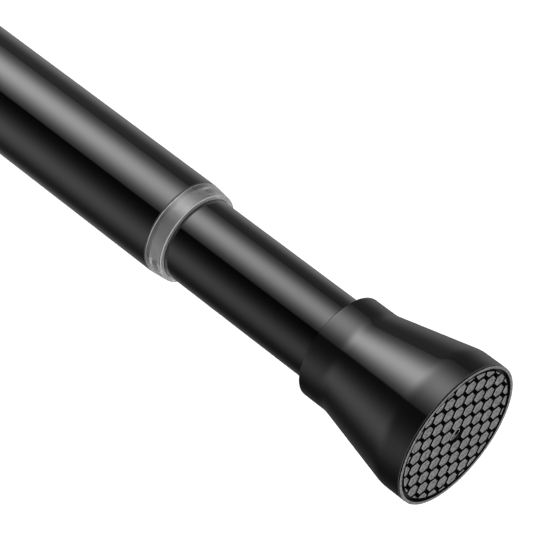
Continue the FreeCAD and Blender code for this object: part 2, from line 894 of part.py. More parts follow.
def plug_pins():
    """The two short pins, above and below, that hold the guide plug in the tube."""
    pins = []
    for name, way in (("upper_pin", 1), ("lower_pin", -1)):
        pin = document.addObject("Part::Cylinder", name)
        bind(pin, "Radius", "pin_diameter / 2 - seat_clearance")
        bind(pin, "Height", "pin_length")
        top = FreeCAD.Rotation(FreeCAD.Vector(1, 0, 0), 0 if way > 0 else 180)
        pin.Placement = FreeCAD.Placement(FreeCAD.Vector(), top)
        bind(pin, "Placement.Base.z", f"{way} * ( inner_radius - pin_length - seat_clearance )")
        pins.append(pin)
    group = document.addObject("Part::Compound", "plug_pins")
    group.Label = "plug_pins"
    group.Links = pins
    place(group, "inner_far_end + pin_setback")
    return group


def build():
    """Makes every piece, from the fixed end to the sliding one."""
    spindle_hole = "spindle_end_diameter / 2 + seat_clearance"
    boss_hole = "seat_boss_radius + seat_clearance"
    return [
        end_cap("far_end_cap", "outer_radius", "0", False),
        pad("far_pad", "0", False),
        outer_tube(),
        clear_collar(),
        screw(),
        washer("cam_washer", "cam_flange_radius", "screw_diameter / 2 + seat_clearance",
               "washer_thickness", "cam_far_end - washer_thickness"),
        cam_plug(),
        cam_ring(),
        drag_bush(),
        spindle(),
        spring_seat(),
        spring(),
        washer("spring_washer", "seat_flange_radius", boss_hole,
               "washer_thickness", "spring_washer_face"),
        guide_plug(),
        plug_pins(),
        washer("stop_washer", "stop_washer_diameter / 2", spindle_hole,
               "washer_thickness", "spindle_shoulder"),
        lock_nut(),
        inner_tube(),
        end_cap("near_end_cap", "inner_radius", "overall_length", True),
        pad("near_pad", "overall_length", True),
    ]


def check(pieces):
    """Stops before anything is written if an object failed or a piece isn't a sound solid."""
    for item in document.Objects:
        if FAILED_STATES & set(item.State):
            raise RuntimeError(f"{item.Label}: {item.State}")
    for piece in pieces:
        shape = piece.Shape
        if shape.isNull() or not shape.isValid() or not shape.Solids:
            raise RuntimeError(f"{piece.Label} is not a sound solid")


fill_sheet()
pieces = build()
document.recompute()
check(pieces)
os.makedirs("parts", exist_ok=True)
for piece in pieces:
    piece.Shape.exportStep(f"parts/{piece.Label}.step")
    box = piece.Shape.BoundBox
    print(f"{piece.Label:16s} x {box.XMin:8.2f} to {box.XMax:8.2f}  radius {box.ZMax:6.2f}"
          f"  volume {piece.Shape.Volume:10.1f}")
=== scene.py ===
# %% [markdown]
# # A spring tension rod
# This rod presses itself between two walls. A narrow black tube slides in a wide one, a clear collar closes
# the gap between them, and each end has a flared cap with a honeycomb rubber pad. A twist lock and a spring
# are hidden inside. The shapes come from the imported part, which stays where it is; this lesson gives every
# piece its finish, makes the finer meshes that a close look needs, and sets up the studio.
#
# The rod lies along X, and everything here is in metres.

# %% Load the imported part
import json
import math

import bmesh
import bpy
from mathutils import Matrix, Vector
from mathutils.geometry import delaunay_2d_cdt


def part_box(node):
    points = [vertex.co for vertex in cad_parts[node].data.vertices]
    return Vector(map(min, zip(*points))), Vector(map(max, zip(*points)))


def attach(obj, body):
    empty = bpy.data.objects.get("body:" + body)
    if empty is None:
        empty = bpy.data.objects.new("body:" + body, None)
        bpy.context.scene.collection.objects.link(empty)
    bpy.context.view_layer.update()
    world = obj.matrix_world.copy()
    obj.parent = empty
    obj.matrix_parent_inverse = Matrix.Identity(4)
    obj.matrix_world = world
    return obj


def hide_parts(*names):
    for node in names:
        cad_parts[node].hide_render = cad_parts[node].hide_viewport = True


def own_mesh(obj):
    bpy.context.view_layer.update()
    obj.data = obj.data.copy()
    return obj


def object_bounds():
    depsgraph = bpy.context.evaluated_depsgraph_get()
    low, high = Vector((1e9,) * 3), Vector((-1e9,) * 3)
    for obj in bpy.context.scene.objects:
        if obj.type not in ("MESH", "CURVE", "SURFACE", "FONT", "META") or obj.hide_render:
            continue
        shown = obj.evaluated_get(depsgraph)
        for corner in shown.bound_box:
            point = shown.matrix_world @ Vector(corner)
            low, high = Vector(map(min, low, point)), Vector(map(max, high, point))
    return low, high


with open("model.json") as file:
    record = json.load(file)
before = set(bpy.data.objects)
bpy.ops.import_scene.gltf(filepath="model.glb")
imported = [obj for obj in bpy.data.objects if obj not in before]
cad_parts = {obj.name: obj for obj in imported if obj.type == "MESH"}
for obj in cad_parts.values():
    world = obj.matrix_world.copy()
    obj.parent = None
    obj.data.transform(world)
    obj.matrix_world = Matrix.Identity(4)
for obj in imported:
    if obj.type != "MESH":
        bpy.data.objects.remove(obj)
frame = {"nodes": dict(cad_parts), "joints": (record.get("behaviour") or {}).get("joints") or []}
nodes = frame["nodes"]
cad_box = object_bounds()
print("pieces in the packed part:", len(nodes))
print("its box, in mm:", [round(1000 * (high - low), 1) for low, high in zip(*cad_box)])

# %% [markdown]
# ## Reading sizes from the part
# Most pieces of this rod are turned about its axis, so two facts place them: how far along X they reach, and
# their smallest and largest radius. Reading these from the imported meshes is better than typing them, because
# the finer meshes then fit the part even if its sizes change.

# %% Sizes of a turned piece
MM = 0.001


def turned_sizes(node):
    """Where a turned piece starts and ends along X, and its smallest and largest radius."""
    points = [vertex.co for vertex in nodes[node].data.vertices]
    along = [point.x for point in points]
    radii = [math.hypot(point.y, point.z) for point in points]
    return min(along), max(along), min(radii), max(radii)


for node in ("outer_tube", "inner_tube", "near_end_cap"):
    print(node, "start, end, inner and outer radius in mm:",
          [round(value / MM, 2) for value in turned_sizes(node)])

# %% [markdown]
# ## Writing materials as sums
# A material is a graph of nodes, and graphs built by hand are hard to read back. Here one small class stands
# for the output of a node, and Python's own signs add the Math nodes, so that `0.2 + 0.1 * speckle` means
# what it says. Every other node comes from one method, `node`, which first sets the node's options and then
# fills its inputs with numbers or links.

# %% A wire between nodes
class Wire:
    """The output of a node. Adding, multiplying and the like put Math nodes behind it."""

    def __init__(self, graph, socket):
        self.graph = graph
        self.socket = socket

    def maths(self, operation, first, second=0.0):
        return self.graph.node("ShaderNodeMath", {"operation": operation}, {0: first, 1: second})

    def __add__(self, other):
        return self.maths("ADD", self, other)

    def __radd__(self, other):
        return self.maths("ADD", other, self)

    def __sub__(self, other):
        return self.maths("SUBTRACT", self, other)

    def __rsub__(self, other):
        return self.maths("SUBTRACT", other, self)

    def __mul__(self, other):
        return self.maths("MULTIPLY", self, other)

    def __rmul__(self, other):
        return self.maths("MULTIPLY", other, self)

    def __abs__(self):
        return self.maths("ABSOLUTE", self)

    def __pow__(self, other):
        return self.maths("POWER", self, other)

    def __rpow__(self, other):
        return self.maths("POWER", other, self)

    def smaller(self, other):
        return self.maths("MINIMUM", self, other)

    def larger(self, other):
        return self.maths("MAXIMUM", self, other)


# %% A graph of nodes
class Graph:
    """The node tree of a material or of the world."""

    def __init__(self, owner):
        owner.use_nodes = True
        self.owner = owner
        self.tree = owner.node_tree
        self.tree.nodes.clear()

    def node(self, kind, options=None, inputs=None, output=0):
        """Adds a node: its options first, then its inputs by name or number. Gives the wanted output."""
        made = self.tree.nodes.new(kind)
        for option, value in (options or {}).items():
            setattr(made, option, value)
        for name, value in (inputs or {}).items():
            if isinstance(value, Wire):
                self.tree.links.new(value.socket, made.inputs[name])
            else:
                made.inputs[name].default_value = value
        if not made.outputs:
            return None
        return Wire(self, made.outputs[output])

    def spread(self, value, low, high):
        """Turns a value between low and high into 0 to 1, eased at both ends."""
        inputs = {"Value": value, "From Min": low, "From Max": high}
        return self.node("ShaderNodeMapRange", {"interpolation_type": "SMOOTHSTEP"}, inputs)

    def mix(self, share, first, second):
        """A colour between two colours."""
        return self.node("ShaderNodeMix", {"data_type": "RGBA"}, {0: share, 6: first, 7: second}, output=2)

    def place(self):
        """Where a point lies on the piece, in metres. It stays with the piece when the rod moves."""
        return self.node("ShaderNodeTexCoord", output=3)

    def part(self, vector, axis):
        """One of the three numbers of a vector: 0 for X, 1 for Y and 2 for Z."""
        return self.node("ShaderNodeSeparateXYZ", inputs={0: vector}, output=axis)

    def speckle(self, size, detail=2.0, stretch=(1, 1, 1)):
        """Noise from 0 to 1 whose blobs are about size across, drawn out along an axis by stretch."""
        squeezed = [1 / (size * factor) for factor in stretch]
        place = self.node("ShaderNodeVectorMath", {"operation": "MULTIPLY"}, {0: self.place(), 1: squeezed})
        return self.node("ShaderNodeTexNoise", inputs={"Vector": place, "Scale": 1.0, "Detail": detail})

    def bump(self, height, depth):
        """A normal from a height of 0 to 1 that stands depth proud."""
        inputs = {"Strength": 1.0, "Distance": depth, "Height": height}
        return self.node("ShaderNodeBump", inputs=inputs)

    def shader(self, **inputs):
        """The main shader, with its inputs written as words joined by underscores."""
        named = {name.replace("_", " "): value for name, value in inputs.items()}
        return self.node("ShaderNodeBsdfPrincipled", inputs=named)

    def surface(self, **inputs):
        """A material that is one such shader."""
        self.node("ShaderNodeOutputMaterial", inputs={"Surface": self.shader(**inputs)})


def new_finish(name):
    """An empty material and its graph."""
    return Graph(bpy.data.materials.new(name))


def grey(level):
    """A plain grey, from 0 for black to 1 for white."""
    return (level, level, level, 1)


# %% [markdown]
# ## Gloss black enamel
# Both tubes are thin steel with a baked gloss enamel. Enamel is a nearly black body under a clear, hard skin,
# so the look is all in its reflections: a Principled shader with a dark base and a full clear coat gives
# exactly that. Two things keep it from looking like plastic wrap: the skin is a little uneven, which is
# called orange peel, and its gloss varies slightly over a few centimetres.

# %% Gloss black enamel
def gloss_enamel():
    finish = new_finish("gloss_black_enamel")
    cloud = finish.speckle(14 * MM, stretch=(4, 1, 1))
    peel = finish.speckle(0.9 * MM, detail=1.0, stretch=(1.6, 1, 1))
    finish.surface(
        Base_Color=finish.mix(cloud, grey(0.0006), grey(0.0012)),
        Roughness=0.04 + 0.03 * cloud,
        Normal=finish.bump(peel, 0.0010 * MM),
        IOR=1.5,
        Coat_Weight=1.0,
        Coat_Roughness=0.03,
        Coat_IOR=1.5,
    )
    return finish.owner


enamel = gloss_enamel()
print("made", enamel.name)

# %% [markdown]
# ## Satin black plastic
# The flared caps are moulded in black plastic. A mould with a fine spark-eroded surface leaves a satin skin:
# the highlights are the same as on the tubes, but wider and softer. That means more roughness, no clear coat,
# and a very fine grain in the bump.

# %% Satin black plastic
def satin_plastic():
    finish = new_finish("satin_black_plastic")
    cloud = finish.speckle(9 * MM)
    grain = finish.speckle(0.16 * MM, detail=3.0)
    finish.surface(
        Base_Color=finish.mix(cloud, grey(0.002), grey(0.0035)),
        Roughness=0.06 + 0.02 * cloud,
        Normal=finish.bump(grain, 0.0012 * MM),
        IOR=1.5,
        Specular_IOR_Level=0.92,
    )
    return finish.owner


satin = satin_plastic()
print("made", satin.name)

# %% [markdown]
# ## Grey rubber tread
# Each pad is one piece of rubber, but it has three looks. The ground faces are grey and finely grained, the
# narrow bevels round the studs get a plain, lighter grey that is a painted highlight, and the grooves are
# painted black as shade, walls and floor alike. Two facts tell these apart. The first is how a face leans: the
# X part of its normal is one on a ground face, about 0.7 on a bevel and nought on a wall. The second is how
# far a point lies behind the pad's foremost face, measured along X from the nearer of the two pads' faces. One
# material blends the three looks by these two facts.

# %% Grey rubber tread
far_face = turned_sizes("far_pad")[0]
near_face = turned_sizes("near_pad")[1]
# Points further back than this depth get painted shade; the two leans set where the walls' painted shade and
# the bevels' painted highlight begin.
PAINTED_SHADE_DEPTH = 0.7 * MM
WALL_SHADE_TO_BEVEL = (0.58, 0.68)
FACE_TO_BEVEL_HIGHLIGHT = (0.95, 0.80)


def tread_rubber():
    finish = new_finish("tread_rubber")
    x = finish.part(finish.place(), 0)
    depth = abs(x - far_face).smaller(abs(x - near_face))
    normal = finish.node("ShaderNodeTexCoord", output=1)
    lean = abs(finish.part(normal, 0))
    facing = finish.spread(lean, *WALL_SHADE_TO_BEVEL)
    # The bevels' lighter grey in the ground look is a painted highlight.
    bevel_highlight = finish.spread(lean, *FACE_TO_BEVEL_HIGHLIGHT)
    # Walls and everything deeper than the ground faces get the groove look, which is painted shade.
    outside_painted_shade = facing * finish.spread(depth, PAINTED_SHADE_DEPTH, 0.8 * PAINTED_SHADE_DEPTH)
    grain = finish.speckle(0.45 * MM, detail=4.0)
    cloud = finish.speckle(2.2 * MM)
    face = finish.mix(finish.spread(grain, 0.38, 0.62), grey(0.050), grey(0.185))
    ground_and_bevel_highlight = finish.shader(
        Base_Color=finish.mix(bevel_highlight, finish.mix(0.25 * cloud, face, grey(0.10)), grey(0.20)),
        Roughness=0.55 + 0.1 * grain,
        Normal=finish.bump(grain, 0.018 * MM),
        IOR=1.5,
    )
    # The groove look is painted shade: nearly black and barely reflecting.
    painted_groove_shade = finish.shader(
        Base_Color=finish.mix(cloud, grey(0.0015), grey(0.003)),
        Roughness=0.45 + 0.1 * grain,
        Normal=finish.bump(grain, 0.004 * MM),
        IOR=1.5,
        Specular_IOR_Level=0.15,
    )
    look = finish.node("ShaderNodeMixShader", inputs={0: outside_painted_shade, 1: painted_groove_shade, 2: ground_and_bevel_highlight})
    finish.node("ShaderNodeOutputMaterial", inputs={"Surface": look})
    return finish.owner


rubber = tread_rubber()
print("made", rubber.name, "for faces at", round(far_face / MM, 2), "and", round(near_face / MM, 2), "mm")

# %% [markdown]
# ## Clear plastic
# The collar is clear plastic that has been moulded, not polished, so it is faintly milky. Light has to pass
# through it: transmission with the plastic's own refraction bends the black tubes behind it, and a strong
# clear coat gives it bright reflections. A second, milky look is mixed in. Its small share on the plain wall
# is the plastic's own milkiness. Its larger shares are painted light: a painted whitish glow where the wall is
# seen at a grazing angle, and painted highlights along the rounded edges, most of all the one against the
# outer tube.
# The X part of the normal finds those edges.

# %% Clear plastic
# The plain wall's share is the plastic's own milkiness; the other four are shares of painted light on the
# edges and at grazing angles.
WALL_MILK = 0.05
GRAZING_PAINTED_GLOW = 0.40
FRONT_EDGE_HIGHLIGHT = 0.42
BACK_FACE_HIGHLIGHT = 0.10
BACK_EDGE_HIGHLIGHT = 0.85


def clear_plastic():
    finish = new_finish("clear_plastic")
    cloud = finish.speckle(3 * MM)
    flow = finish.speckle(0.5 * MM, stretch=(1, 4, 4))
    lean = finish.part(finish.node("ShaderNodeTexCoord", output=1), 0)
    # Painted highlights along the rounded edges at the front and back.
    front_edge_highlight = FRONT_EDGE_HIGHLIGHT * finish.spread(lean, 0.25, 0.45) * finish.spread(lean, 0.97, 0.90)
    back_rounding_highlight = BACK_EDGE_HIGHLIGHT * finish.spread(lean, -0.97, -0.90)
    back_edge_highlight = finish.spread(lean, -0.10, -0.30) * (BACK_FACE_HIGHLIGHT + back_rounding_highlight)
    # A painted whitish glow where the wall is seen at a grazing angle.
    grazing = finish.node("ShaderNodeLayerWeight", inputs={"Blend": 0.5}, output=1)
    wall_milk_and_glow = WALL_MILK + GRAZING_PAINTED_GLOW * finish.spread(grazing, 0.35, 0.90)
    milk_and_painted_light = front_edge_highlight.larger(back_edge_highlight).larger(wall_milk_and_glow)
    clear_look = finish.shader(
        Base_Color=finish.mix(cloud, grey(0.50), grey(0.58)),
        Roughness=0.03 + 0.03 * cloud,
        Normal=finish.bump(flow, 0.0003 * MM),
        IOR=1.49,
        Transmission_Weight=0.96,
        Coat_Weight=1.0,
        Coat_Roughness=0.05,
        Coat_IOR=1.8,
    )
    # This look carries the plastic's own milkiness and the painted edge highlights and grazing glow.
    milk_and_highlight_look = finish.shader(
        Base_Color=finish.mix(cloud, grey(0.66), grey(0.76)),
        Roughness=0.25 + 0.1 * cloud,
        IOR=1.49,
    )
    look = finish.node("ShaderNodeMixShader", inputs={0: milk_and_painted_light, 1: clear_look, 2: milk_and_highlight_look})
    finish.node("ShaderNodeOutputMaterial", inputs={"Surface": look})
    return finish.owner


clear = clear_plastic()
print("made", clear.name)

# %% [markdown]
# ## The hidden metals and the nylon
# Inside are a zinc-plated spindle with its washers, nut, screw and pins, a spring of oiled drawn wire, and
# moulded nylon for the lock's plug, ring and bush, the spring's seat and the guide plug. They show only when
# the rod is taken apart, but they are finished all the same. Plating has a faint spangle, drawn wire has fine
# lines along it, and nylon is a warm white that lets a little light in.

# %% Zinc plate, spring wire and nylon
def zinc_plate():
    finish = new_finish("zinc_plate")
    spangle = finish.speckle(0.8 * MM, detail=3.0)
    scratch = finish.speckle(0.12 * MM, stretch=(1, 8, 8))
    finish.surface(
        Base_Color=finish.mix(spangle, (0.52, 0.54, 0.58, 1), (0.68, 0.69, 0.70, 1)),
        Roughness=0.24 + 0.16 * spangle,
        Normal=finish.bump(scratch, 0.002 * MM),
        Metallic=1.0,
    )
    return finish.owner


def spring_wire():
    finish = new_finish("spring_wire")
    lines = finish.speckle(0.1 * MM, stretch=(1, 14, 14))
    finish.surface(
        Base_Color=finish.mix(lines, (0.30, 0.30, 0.31, 1), (0.44, 0.44, 0.45, 1)),
        Roughness=0.22 + 0.12 * lines,
        Normal=finish.bump(lines, 0.003 * MM),
        Metallic=1.0,
    )
    return finish.owner


def nylon():
    finish = new_finish("nylon")
    cloud = finish.speckle(4 * MM)
    grain = finish.speckle(0.2 * MM, detail=3.0)
    finish.surface(
        Base_Color=finish.mix(cloud, (0.74, 0.73, 0.68, 1), (0.82, 0.81, 0.77, 1)),
        Roughness=0.40 + 0.1 * cloud,
        Normal=finish.bump(grain, 0.004 * MM),
        IOR=1.53,
        Subsurface_Weight=0.15,
        Subsurface_Scale=1.5 * MM,
    )
    return finish.owner


zinc = zinc_plate()
wire = spring_wire()
white_nylon = nylon()
print("made", zinc.name, wire.name, white_nylon.name)

# %% [markdown]
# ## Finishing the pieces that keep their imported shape
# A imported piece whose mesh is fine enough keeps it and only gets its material. The list says which finish
# each one has. All the other pieces get finer meshes in the steps that follow.

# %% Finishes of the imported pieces
FINISHES = {
    zinc: ["spindle", "retainer_screw", "cam_washer", "spring_washer", "stop_washer", "lock_nut",
           "plug_pins"],
    white_nylon: ["cam_plug", "cam_ring", "drag_bush", "spring_seat", "guide_plug"],
}


def give_finish(piece, finish):
    """Leaves a piece with one material."""
    piece.data.materials.clear()
    piece.data.materials.append(finish)


for finish, names in FINISHES.items():
    for name in names:
        give_finish(nodes[name], finish)
    print(finish.name, "on", len(names), "pieces")

# %% [markdown]
# ## Turning a piece on a lathe
# The tubes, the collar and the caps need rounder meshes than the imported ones, so that their reflections run
# true. A lathe does it: an outline of points, each a place along X and a radius, is carried round the axis in
# small steps.
#
# Sharp corners look false on a real object, because every real edge is broken a little, so a helper first
# rounds the outline's corners with short arcs. It also puts a point on the straight just before and after
# each arc. Smooth shading blends the directions of neighbouring faces, and without those guards the arc at a
# tube's end would bend the reflections of the whole long wall.

# %% The lathe
STEPS_ROUND = 192
CORNER_STEPS = 5
GUARD_SHARE = 0.8
NEARLY_STRAIGHT = 0.4999 * math.pi
SHARP_DEGREES = 35


def rounded(corners):
    """An outline from (along, radius, corner radius) corners, in which each corner is cut by an arc."""
    outline = []
    for index, (along, radius, bend) in enumerate(corners):
        corner = Vector((along, radius))
        back = (Vector(corners[index - 1][:2]) - corner).normalized()
        ahead = (Vector(corners[(index + 1) % len(corners)][:2]) - corner).normalized()
        half_angle = back.angle(ahead) / 2
        if bend == 0 or half_angle > NEARLY_STRAIGHT:
            outline.append(corner)
            continue
        middle = corner + (back + ahead).normalized() * (bend / math.sin(half_angle))
        run = bend / math.tan(half_angle)
        first = corner + back * run - middle
        last = corner + ahead * run - middle
        sweep = first.angle_signed(last)
        outline.append(corner + back * run * (1 + GUARD_SHARE))
        for step in range(CORNER_STEPS + 1):
            turn = Matrix.Rotation(-sweep * step / CORNER_STEPS, 2)
            outline.append(middle + turn @ first)
        outline.append(corner + ahead * run * (1 + GUARD_SHARE))
    return outline


def join_loops(mesh, low, high):
    """A wall of four-sided faces between two loops of as many points."""
    count = len(low)
    for index in range(count):
        following = (index + 1) % count
        mesh.faces.new([low[index], low[following], high[following], high[index]])


def lathe_mesh(outline):
    """A bmesh of a closed outline turned about X."""
    mesh = bmesh.new()
    angles = [2 * math.pi * step / STEPS_ROUND for step in range(STEPS_ROUND)]
    rings = []
    for along, radius in outline:
        rings.append([mesh.verts.new((along, radius * math.cos(a), radius * math.sin(a))) for a in angles])
    for near, far in zip(rings, rings[1:] + rings[:1]):
        join_loops(mesh, near, far)
    return mesh


def finish_mesh(name, mesh, finish):
    """Turns a bmesh into a smooth-shaded object whose sharper edges stay crisp."""
    bmesh.ops.recalc_face_normals(mesh, faces=mesh.faces)
    data = bpy.data.meshes.new(name)
    mesh.to_mesh(data)
    mesh.free()
    data.shade_smooth()
    data.set_sharp_from_angle(angle=math.radians(SHARP_DEGREES))
    piece = bpy.data.objects.new(name, data)
    bpy.context.scene.collection.objects.link(piece)
    give_finish(piece, finish)
    print(name, "faces:", len(data.polygons))
    return piece


# %% [markdown]
# ## The two tubes
# A tube's outline is a thin rectangle. Its cut ends are deburred, so their edges have a small radius that
# catches a hair of light. The inner tube is also drilled for two pins, near its hidden end. A boolean cuts
# the holes; an extra ring on either side of them keeps the cut's odd faces away from the long smooth walls.

# %% The outer tube
TUBE_EDGE = 0.12 * MM
start, end, bore, outside = turned_sizes("outer_tube")
outer_outline = rounded(
    [(start, bore, TUBE_EDGE), (end, bore, TUBE_EDGE), (end, outside, TUBE_EDGE), (start, outside, TUBE_EDGE)]
)
outer_tube = finish_mesh("outer_tube_enamelled", lathe_mesh(outer_outline), enamel)
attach(outer_tube, "outer")
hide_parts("outer_tube")

# %% The inner tube
HOLE_MARGIN = 1.5 * MM
start, end, bore, outside = turned_sizes("inner_tube")
pin_low, pin_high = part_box("plug_pins")
pin_radius = (pin_high.y - pin_low.y) / 2
pin_place = (pin_high.x + pin_low.x) / 2
rings_at = (pin_place - pin_radius - HOLE_MARGIN, pin_place + pin_radius + HOLE_MARGIN)
inner_outline = rounded(
    [(start, bore, TUBE_EDGE), (rings_at[0], bore, 0), (rings_at[1], bore, 0), (end, bore, TUBE_EDGE),
     (end, outside, TUBE_EDGE), (rings_at[1], outside, 0), (rings_at[0], outside, 0),
     (start, outside, TUBE_EDGE)]
)
inner_tube = finish_mesh("inner_tube_enamelled", lathe_mesh(inner_outline), enamel)

# %% Cutting with a boolean
DRILL_STEPS = 48
PIN_FIT = 0.02 * MM


def carve(piece, mesh):
    """Takes the room of a bmesh away from a piece."""
    data = bpy.data.meshes.new("tool")
    mesh.to_mesh(data)
    mesh.free()
    tool = bpy.data.objects.new("tool", data)
    bpy.context.scene.collection.objects.link(tool)
    cut = piece.modifiers.new("cut", "BOOLEAN")
    cut.operation = "DIFFERENCE"
    cut.solver = "EXACT"
    cut.object = tool
    carved = bpy.data.meshes.new_from_object(piece.evaluated_get(bpy.context.evaluated_depsgraph_get()))
    carved.set_sharp_from_angle(angle=math.radians(SHARP_DEGREES))
    piece.modifiers.clear()
    piece.data = carved
    bpy.data.objects.remove(tool)


def drill(piece, along, radius, reach):
    """Cuts a round hole up and down through a piece."""
    mesh = bmesh.new()
    bmesh.ops.create_cone(mesh, cap_ends=True, segments=DRILL_STEPS, radius1=radius, radius2=radius,
                          depth=2 * reach)
    bmesh.ops.translate(mesh, verts=mesh.verts, vec=(along, 0, 0))
    carve(piece, mesh)


drill(inner_tube, pin_place, pin_radius + PIN_FIT, 2 * outside)
print("pin holes at", round(pin_place / MM, 2), "mm; faces:", len(inner_tube.data.polygons))
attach(inner_tube, "inner")
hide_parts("inner_tube")

# %% [markdown]
# ## The clear collar
# The collar is a bush whose spigot sits in the outer tube and whose nose tapers down to the inner tube. Light
# draws a clear piece by its edges, so they all get a small radius of their own, and the clear plastic adds a
# painted highlight along them.

# %% The clear collar
COLLAR_EDGE = 0.10 * MM
COLLAR_BACK_EDGE = 0.40 * MM
COLLAR_NOSE_EDGE = 0.25 * MM
COLLAR_TAPER = 0.5 * MM
COLLAR_FIT = 0.02 * MM
start, end, bore, outside = turned_sizes("clear_collar")
_, shoulder, tube_bore, _ = turned_sizes("outer_tube")
spigot = tube_bore - COLLAR_FIT
collar_outline = rounded(
    [(start, bore, COLLAR_EDGE), (end, bore, COLLAR_EDGE), (end, outside - COLLAR_TAPER, COLLAR_NOSE_EDGE),
     (shoulder, outside, COLLAR_BACK_EDGE), (shoulder, spigot, COLLAR_EDGE), (start, spigot, COLLAR_EDGE)]
)
collar = finish_mesh("clear_collar_turned", lathe_mesh(collar_outline), clear)
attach(collar, "outer")
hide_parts("clear_collar")

# %% [markdown]
# ## The end caps
# A cap is turned as well: a thin lip round the pad's seat, a short cylinder, a cone, a neck and a socket for
# its tube. The cone runs into the cylinder and into the neck by large arcs. The neck's mouth is cut off
# nearly sharp, so that it draws one thin dark line on the tube. Both caps share these sizes, and their tubes'
# radii set the rest.

# %% The end caps
CAP_NECK_WALL = 2.3 * MM
CAP_FIT = 0.02 * MM
CAP_LEDGE = 1.6 * MM
CAP_LIP_WALL = 0.45 * MM
CAP_LIP_EDGE = 0.15 * MM
CAP_SEAT_DEPTH = 1.8 * MM
CAP_WEB = 3.0 * MM
CAP_RIM_LENGTH = 5.7 * MM
CAP_CONE_LENGTH = 19.2 * MM
CAP_RIM_BLEND = 9.0 * MM
CAP_NECK_BLEND = 7.5 * MM
CAP_MOUTH_EDGE = 0.35 * MM
CAP_MOUTH_BACK = 0.70 * MM


def cap_outline(cap, tube, way):
    """A cap's outline. It is written from its lip, and way is the sign of X from there to its tube."""
    low, high, stem_hole, rim = turned_sizes(cap)
    tube_start, tube_end, _, tube_radius = turned_sizes(tube)
    lip, far, bottom = (low, high, tube_start) if way > 0 else (high, low, tube_end)
    mouth = far - way * CAP_MOUTH_BACK
    seat = lip + way * CAP_SEAT_DEPTH
    web = seat + way * CAP_WEB
    cone_start = lip + way * CAP_RIM_LENGTH
    neck = tube_radius + CAP_NECK_WALL
    socket = tube_radius + CAP_FIT
    ledge = tube_radius - CAP_LEDGE
    return rounded(
        [(seat, stem_hole, 0), (seat, rim - CAP_LIP_WALL, 0), (lip, rim - CAP_LIP_WALL, 0),
         (lip, rim, CAP_LIP_EDGE), (cone_start, rim, CAP_RIM_BLEND),
         (cone_start + way * CAP_CONE_LENGTH, neck, CAP_NECK_BLEND), (mouth, neck, CAP_MOUTH_EDGE),
         (mouth, socket, 0), (bottom, socket, 0), (bottom, ledge, 0), (web, ledge, 0), (web, stem_hole, 0)]
    )


for node, tube, body, way in (
    ("near_end_cap", "inner_tube", "inner", -1),
    ("far_end_cap", "outer_tube", "outer", 1),
):
    cap = finish_mesh(node + "_turned", lathe_mesh(cap_outline(node, tube, way)), satin)
    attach(cap, body)
    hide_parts(node)

# %% [markdown]
# ## The honeycomb pads
# A pad is a disc with six-sided studs, a raised rim that covers the cap's lip, and a barbed stem behind that
# holds it in the cap. Where the middle stud would be stands a small drop-shaped boss with a pinhole, and a
# short slot runs from the hole into the drop's tail. The slot is cut by the boolean that drilled the tube.
# Each stud's top edge has a narrow bevel, and the tread material paints it a lighter grey as a highlight,
# which makes the bright line round every cell.
#
# The groove floor is one flat sheet with a hole for each stud, and a constrained triangulation makes it: give
# it the round edge and every stud's outline, and keep the triangles that lie in no outline. Walls, bevels and
# tops then rise from those same outlines, so the pad is one closed skin.

# %% Sizes of the tread
CELL_PITCH = 3.45 * MM
CELL_GROOVE = 0.90 * MM
CELL_BEVEL = 0.12 * MM
CELL_TURN = math.radians(1.2)
TREAD_RECESS = 0.12 * MM
TREAD_DEPTH = 1.10 * MM
TREAD_MARGIN = 0.80 * MM
SMALLEST_CELL_SHARE = 0.02
SHORTEST_SIDE = 0.05 * MM
RIM_WIDTH = 0.62 * MM
RIM_THICKNESS = 0.35 * MM
RIM_OVERHANG = 0.44 * MM
RIM_EDGE = 0.06 * MM
BOSS_RADIUS = 0.95 * MM
BOSS_DROP = 0.30 * MM
BOSS_EDGE = 0.10 * MM
TAIL_RADIUS = 0.72 * MM
TAIL_PLACE = Vector((-0.80, -0.24)) * MM
HOLE_RADIUS = 0.66 * MM
HOLE_DEPTH = 0.80 * MM
HOLE_PLACE = Vector((0.38, 0.42)) * MM
EDGE_STEPS = 144
BOSS_STEPS = 36
SLOT_LOW = Vector((-1.20, -0.42)) * MM
SLOT_HIGH = Vector((0.20, -0.06)) * MM
SLOT_DEPTH = 0.60 * MM


def area_of(polygon):
    """Area of a flat polygon, positive when it runs anticlockwise."""
    following = polygon[1:] + polygon[:1]
    return sum(a.x * b.y - b.x * a.y for a, b in zip(polygon, following)) / 2


def trimmed(polygon, reach):
    """The part of a convex polygon that lies within a circle about the middle."""
    step = 2 * math.pi / EDGE_STEPS
    kept = list(polygon)
    for index in range(EDGE_STEPS):
        outward = Vector((math.cos(index * step), math.sin(index * step)))
        limit = reach * math.cos(step / 2)
        result = []
        for here, there in zip(kept, kept[1:] + kept[:1]):
            inside_here = here.dot(outward) <= limit
            inside_there = there.dot(outward) <= limit
            if inside_here:
                result.append(here)
            if inside_here != inside_there:
                share = (limit - here.dot(outward)) / (there - here).dot(outward)
                result.append(here.lerp(there, share))
        kept = result
        if len(kept) < 3:
            return []
    return kept


def shrunk(polygon, step):
    """A convex polygon with every side moved inwards by step."""
    count = len(polygon)
    lines = []
    for index in range(count):
        start, end = polygon[index], polygon[(index + 1) % count]
        along = (end - start).normalized()
        inward = Vector((-along.y, along.x))
        lines.append((start + inward * step, along))
    corners = []
    for index in range(count):
        (point_a, along_a), (point_b, along_b) = lines[index - 1], lines[index]
        slant = along_a.x * along_b.y - along_a.y * along_b.x
        gap = point_b - point_a
        share = (gap.x * along_b.y - gap.y * along_b.x) / slant
        corners.append(point_a + along_a * share)
    return corners


